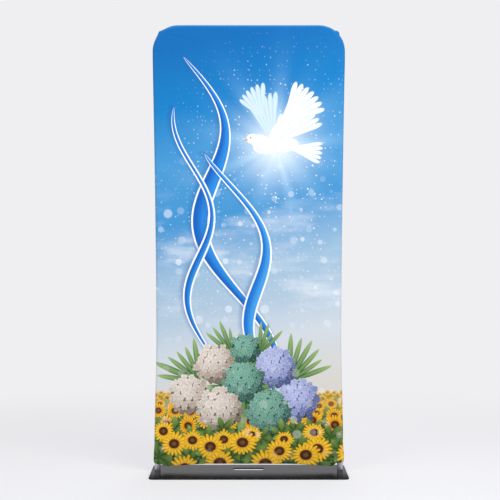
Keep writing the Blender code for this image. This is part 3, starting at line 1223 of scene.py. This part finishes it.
ROWS_BEHIND = (
    {"plant": far_row, "level": 0.372, "radius": 0.019, "pitch": 0.033, "haze": 0.38, "seed": 3.1},
    {"plant": far_row, "level": 0.350, "radius": 0.025, "pitch": 0.044, "haze": 0.24, "seed": 11.4},
    {"plant": leaf_row, "level": 0.330, "radius": 0.034, "pitch": 0.046, "haze": 0.26, "seed": 2.3},
    {"plant": far_row, "level": 0.322, "radius": 0.032, "pitch": 0.058, "haze": 0.13, "seed": 23.7},
    {"plant": leaf_row, "level": 0.262, "radius": 0.048, "pitch": 0.064, "haze": 0.08, "seed": 5.6},
    {"plant": far_row, "level": 0.288, "radius": 0.040, "pitch": 0.076, "haze": 0.05, "seed": 31.2},
    {"plant": far_row, "level": 0.240, "radius": 0.049, "pitch": 0.100, "haze": 0.0, "seed": 43.5},
)
ROWS_IN_FRONT = (
    {"plant": leaf_row, "level": 0.180, "radius": 0.064, "pitch": 0.086, "haze": 0.0, "seed": 8.8},
    {"plant": leaf_row, "level": 0.090, "radius": 0.082, "pitch": 0.108, "haze": 0.0, "seed": 13.4},
    {"plant": near_row, "level": 0.176, "radius": 0.052, "pitch": 0.150, "haze": 0.0, "seed": 61.3},
    {"plant": near_row, "level": 0.116, "radius": 0.064, "pitch": 0.172, "haze": 0.0, "seed": 72.6},
    {"plant": near_row, "level": 0.052, "radius": 0.078, "pitch": 0.205, "haze": 0.0, "seed": 89.1},
)
GROUND_DARK = "#22381A"
GROUND_LIGHT = "#5F7F3A"
GROUND_FAR = "#CFA02C"


def paint_ground(picture, place, up):
    """The deep green between the leaves, hazy towards its far edge."""
    patches = cloudy(place, 60.0, detail=4.0).between(0.35, 0.7)
    green = mix(colour(GROUND_DARK), colour(GROUND_LIGHT), patches)
    green = mix(green, colour(GROUND_FAR), up.between(0.24, 0.36) * 0.65)
    return mix(picture, green, up.fade(MEADOW_TOP - 0.003, MEADOW_TOP + 0.003))


CREAM = ("#EDE4DB", "#9C8778")
TEAL = ("#86BBA8", "#275A52")
LAVENDER = ("#C3CBF0", "#5F6CA8")
HEADS = (
    {"x": -0.015, "z": 0.590, "radius": 0.072, "tint": TEAL},
    {"x": -0.165, "z": 0.520, "radius": 0.092, "tint": CREAM},
    {"x": 0.130, "z": 0.500, "radius": 0.094, "tint": LAVENDER},
    {"x": -0.285, "z": 0.372, "radius": 0.096, "tint": CREAM},
    {"x": 0.235, "z": 0.345, "radius": 0.100, "tint": LAVENDER},
    {"x": -0.025, "z": 0.432, "radius": 0.100, "tint": TEAL},
    {"x": -0.140, "z": 0.300, "radius": 0.108, "tint": CREAM},
    {"x": 0.095, "z": 0.285, "radius": 0.108, "tint": TEAL},
)
EYE_YELLOW = "#F3ECC4"
HEAD_SHADOW = "#1D2A22"
HEAD_GROUND = "#22361F"
FLORET_PITCH = 0.036
FLORET_LAYERS = (
    {"slide": 0.0, "rise": 0.0, "size": 0.54, "seed": 4.3},
    {"slide": 0.5, "rise": 0.5, "size": 0.52, "seed": 17.9},
    {"slide": 0.25, "rise": 0.5, "size": 0.44, "seed": 31.7},
)


def make_floret_group():
    """One small four-petalled flower in each cell, and where its middle is."""
    group, (across, up, slide, rise, size, seed) = make_group(
        "floret",
        {"Across": 0.0, "Up": 0.0, "Slide": 0.0, "Rise": 0.0, "Size": 0.5, "Seed": 0.0},
        {
            "Mask": float,
            "Petal": float,
            "Eye": float,
            "Chance": float,
            "Middle across": float,
            "Middle up": float,
        },
    )
    level = up / FLORET_PITCH + rise
    row = level.work("FLOOR")
    place = across / FLORET_PITCH + slide + row * 0.5
    column = place.work("FLOOR")
    one, two, three = chances(row * 7.7 + column + seed)
    middle_x = column + 0.38 + one * 0.24
    middle_z = row + 0.38 + two * 0.24
    span = size * (three * 0.25 + 0.80)
    mask, along, aside = use(
        petal_fan, group, (place - middle_x) / span, (level - middle_z) / span,
        three, 1.0, 4.0, 1.0, 0.34, 2.6, 0.15, column,
    )
    petal = along * 0.55 + aside.fade(0.35, 1.0) * 0.45
    middle_across = (middle_x - slide - row * 0.5) * FLORET_PITCH
    finish_group(
        group, mask, petal, along.fade(0.10, 0.20), two, middle_across, (middle_z - rise) * FLORET_PITCH
    )
    return group


floret = make_floret_group()


def dome_light(x, z, reach):
    """How well a domed head is lit this far from its middle: best at the upper left."""
    return z * 0.42 - x * 0.26 + (1.0 - reach * reach) * 0.50


def paint_florets(picture, across, up, slide, rise, size, seed):
    """A layer of florets, each tinted and lit as the flower head that its middle is in."""
    mask, petal, eye, chance, middle_across, middle_up = use(
        floret, up.tree, across, up, slide, rise, size, seed
    )
    inside = None
    for head in HEADS:
        x = (middle_across - head["x"]) / head["radius"]
        z = (middle_up - head["z"]) / head["radius"]
        reach = length(x, z)
        within = reach.work("LESS_THAN", 0.96)
        lit = dome_light(x, z, reach)
        light_tint, deep_tint = (colour(code) for code in head["tint"])
        if inside is None:
            inside, shade = within, lit
            light, deep = light_tint, deep_tint
        else:
            inside = inside.work("MAXIMUM", within)
            shade = (lit - shade) * within + shade
            light = mix(light, light_tint, within)
            deep = mix(deep, deep_tint, within)
    bloom = mix(deep, light, petal * 0.55 + chance * 0.14 + shade * 0.95 - 0.22)
    bloom = mix(bloom, colour(EYE_YELLOW), eye * 0.6)
    bloom = mix(bloom, colour(HEAD_SHADOW), shade.fade(-0.35, 0.15) * 0.45)
    return mix(picture, bloom, mask * inside)


def paint_heads(picture, across, up):
    """The flower heads: a dim ground under each, then their florets in layers."""
    for head in HEADS:
        x = (across - head["x"]) / head["radius"]
        z = (up - head["z"]) / head["radius"]
        reach = length(x, z)
        deep = colour(head["tint"][1])
        ground = mix(colour(HEAD_GROUND), deep, dome_light(x, z, reach) * 0.7 + 0.25)
        picture = mix(picture, ground, reach.fade(0.90, 0.93))
    for layer in FLORET_LAYERS:
        picture = paint_florets(picture, across, up, **layer)
    return picture


SPRAYS = (
    {"x": -0.020, "z": 0.395, "reach": 0.235, "turn": 0.0, "spread": 1.0, "count": 17.0},
    {"x": -0.230, "z": 0.430, "reach": 0.215, "turn": 0.255, "spread": 0.24, "count": 6.0},
    {"x": 0.190, "z": 0.430, "reach": 0.205, "turn": 0.040, "spread": 0.22, "count": 6.0},
    {"x": -0.075, "z": 0.560, "reach": 0.150, "turn": 0.250, "spread": 0.16, "count": 4.0},
    {"x": 0.050, "z": 0.560, "reach": 0.140, "turn": 0.110, "spread": 0.15, "count": 4.0},
)
SPRAY_DARK = "#3F6E3A"
SPRAY_LIGHT = "#9DBB78"
SPRAY_EDGE = "#234A2A"


def paint_spray(picture, across, up, x, z, reach, turn, spread, count):
    """Long leaves that stand out of the bouquet."""
    mask, along, aside = use(
        petal_fan, up.tree, (across - x) / reach, (up - z) / reach,
        turn, spread, count, 1.0, 0.55, 1.5, 0.4, x,
    )
    leaf = mix(colour(SPRAY_DARK), colour(SPRAY_LIGHT), (1.0 - aside) * along)
    leaf = mix(leaf, colour(SPRAY_EDGE), aside.between(0.6, 1.0) * 0.7)
    return mix(picture, leaf, mask)


FRONT_DOT_WHITE = "#FFFDF2"


def paint_picture(place, across, up):
    """The whole print, painted from the back to the front."""
    picture = paint_sky(place, across, up)
    picture = paint_light(picture, across, up)
    picture, dots = paint_light_dots(picture, place, across, up)
    for ribbon in RIBBONS:
        picture = paint_ribbon(picture, across, up, **ribbon)
    picture = paint_dove(picture, across, up)
    picture = paint_ground(picture, place, up)
    for row in ROWS_BEHIND:
        picture = paint_row(picture, across, up, **row)
    for spray in SPRAYS:
        picture = paint_spray(picture, across, up, **spray)
    picture = paint_heads(picture, across, up)
    for row in ROWS_IN_FRONT:
        picture = paint_row(picture, across, up, **row)
    low = dots * up.between(0.04, 0.16) * up.fade(0.42, 0.60)
    return mix(picture, colour(FRONT_DOT_WHITE), low * 0.30)


# Painted shade: a dark blue-grey laid over the print towards the seam. It stands in for the seam's
# darker stitching and for the shade where the cloth turns away from the lights.
PAINTED_SEAM_SHADE = "#20282F"
REVERSE_WHITE = "#DADDE3"


def inside_face(tree):
    """1 on the cloth's unprinted reverse, 0 on its face."""
    return Flow(tree.nodes.new("ShaderNodeNewGeometry").outputs["Backfacing"])


def make_printed_knit():
    """The print on the knit's face, darkened towards its seam, and the unprinted white of its reverse.
    """
    made, tree, shader = new_material(
        "printed_stretch_knit", 0.50, Sheen_Weight=0.02, Sheen_Roughness=0.4, Specular_IOR_Level=0.18
    )
    place = print_place(tree)
    across, up, _ = place.parts()
    picture = paint_picture(place, across, up)
    height, tone = use(knit_group, tree, place, WALE, COURSE)
    # Painted shade along the seam: the print darkens over the last few millimetres of cloth before the
    # seam.
    seam = vertex_value(tree, "from_seam").fade(0.0015, 0.0085)
    picture = mix(picture, colour(PAINTED_SEAM_SHADE), seam * 0.45)
    thread = use(cover_stitch, tree, across, vertex_value(tree, "above_hem"))
    picture = mix(picture, colour(THREAD_GREY), thread * 0.30)
    plug(mix(picture, colour(REVERSE_WHITE), inside_face(tree)), shader.inputs["Base Color"])
    plug(0.44 + tone * 0.10, shader.inputs["Roughness"])
    raise_surface(tree, shader, height + thread * 3.0, KNIT_DEPTH)
    return made


front_mesh = build_panel("front_sleeve", FRONT)
front_sleeve = add_piece(
    "front_sleeve", front_mesh, make_printed_knit(), "printed_cloth", "front_panel"
)

# The studio: a pale floor that runs on into a pale surround, soft light from above and from both
# sides, and the camera at standing height, straight in front and turned a little down.
FLOOR_RADIUS = 40.0
NEAR_GLOW = 0.42
SURROUND = "#EFEFF2"
FLOOR_GREY = "#EEEEF1"
FLOOR_DROP = 0.0002
GLOW_START = 0.9
GLOW_FULL = 3.4
FILL_TINT = (0.98, 0.985, 1.0, 1.0)
FILL_STRENGTH = 0.32


def build_floor():
    """A round floor, lit near the banner and glowing like the surround further off."""
    shape = bmesh.new()
    bmesh.ops.create_circle(shape, cap_ends=True, segments=96, radius=FLOOR_RADIUS)
    mesh = bpy.data.meshes.new("studio_floor")
    shape.to_mesh(mesh)
    shape.free()
    made = bpy.data.materials.new("pale_floor")
    made.use_nodes = True
    tree = made.node_tree
    shader = tree.nodes["Principled BSDF"]
    shader.inputs["Base Color"].default_value = colour(FLOOR_GREY)
    shader.inputs["Roughness"].default_value = 0.9
    shader.inputs["Specular IOR Level"].default_value = 0.1
    x, y, _ = object_place(tree).parts()
    far = length(x, y).between(GLOW_START, GLOW_FULL, NEAR_GLOW, 1.0)
    glow = tree.nodes.new("ShaderNodeEmission")
    glow.inputs["Color"].default_value = colour(SURROUND)
    blend = tree.nodes.new("ShaderNodeMixShader")
    plug(far, blend.inputs[0])
    tree.links.new(shader.outputs[0], blend.inputs[1])
    tree.links.new(glow.outputs[0], blend.inputs[2])
    tree.links.new(blend.outputs[0], tree.nodes["Material Output"].inputs["Surface"])
    mesh.materials.append(made)
    floor = bpy.data.objects.new("studio_floor", mesh)
    floor.location.z = -FLOOR_DROP
    bpy.context.scene.collection.objects.link(floor)


build_floor()


def surround_with_light():
    """A pale surround to look at and to mirror, and a dimmer fill that lights the banner."""
    world = bpy.data.worlds.new("studio_surround")
    bpy.context.scene.world = world
    world.use_nodes = True
    tree = world.node_tree
    seen = tree.nodes["Background"]
    seen.inputs["Color"].default_value = colour(SURROUND)
    lighting = tree.nodes.new("ShaderNodeBackground")
    lighting.inputs["Color"].default_value = FILL_TINT
    lighting.inputs["Strength"].default_value = FILL_STRENGTH
    blend = tree.nodes.new("ShaderNodeMixShader")
    rays = tree.nodes.new("ShaderNodeLightPath")
    mirrored = Flow(rays.outputs["Is Glossy Ray"])
    plug(Flow(rays.outputs["Is Camera Ray"]).work("MAXIMUM", mirrored), blend.inputs[0])
    tree.links.new(lighting.outputs[0], blend.inputs[1])
    tree.links.new(seen.outputs[0], blend.inputs[2])
    tree.links.new(blend.outputs[0], tree.nodes["World Output"].inputs["Surface"])


surround_with_light()

SOFT_BOXES = (
    {"name": "right_box", "place": (2.6, -3.0, 2.6), "size": 2.6, "watts": 72},
    {"name": "left_box", "place": (-2.8, -3.2, 2.2), "size": 2.6, "watts": 54},
    {"name": "rear_box", "place": (0.6, 3.8, 2.6), "size": 2.6, "watts": 34},
    {"name": "corner_light", "place": (1.9, -1.9, 3.3), "size": 0.6, "watts": 7},
    {"name": "top_box", "place": (0.1, -0.1, 4.6), "size": 3.2, "watts": 98},
)
LIT_POINT = Vector((0, 0, 1.05))


def hang_soft_box(name, place, size, watts):
    """A square soft light that looks at the middle of the banner and stays out of the picture."""
    light = bpy.data.lights.new(name, "AREA")
    light.shape = "SQUARE"
    light.size = size
    light.energy = watts
    lamp = bpy.data.objects.new(name, light)
    lamp.location = place
    lamp.rotation_euler = (LIT_POINT - Vector(place)).to_track_quat("-Z", "Y").to_euler()
    lamp.visible_camera = False
    bpy.context.scene.collection.objects.link(lamp)


for box in SOFT_BOXES:
    hang_soft_box(**box)

PHOTO_WIDTH = 500
FOCAL_PIXELS = 1171
SENSOR_WIDTH = 36.0
CAMERA_DISTANCE = 5.6
CAMERA_HEIGHT = 1.143
HORIZON_Y = 233.0
BANNER_X = 248.8

camera_data = bpy.data.cameras.new("photo_camera")
camera_data.sensor_width = SENSOR_WIDTH
camera_data.lens = FOCAL_PIXELS / PHOTO_WIDTH * SENSOR_WIDTH
camera = bpy.data.objects.new("photo_camera", camera_data)
bpy.context.scene.collection.objects.link(camera)
camera.location = (0, FRAME_SETBACK - CAMERA_DISTANCE, CAMERA_HEIGHT)
pitch = math.atan((PHOTO_WIDTH / 2 - HORIZON_Y) / FOCAL_PIXELS)
turn = math.atan((PHOTO_WIDTH / 2 - BANNER_X) / FOCAL_PIXELS)
camera.rotation_euler = (math.pi / 2 - pitch, 0, -turn)
bpy.context.scene.camera = camera
bpy.context.scene.view_settings.view_transform = "Standard"
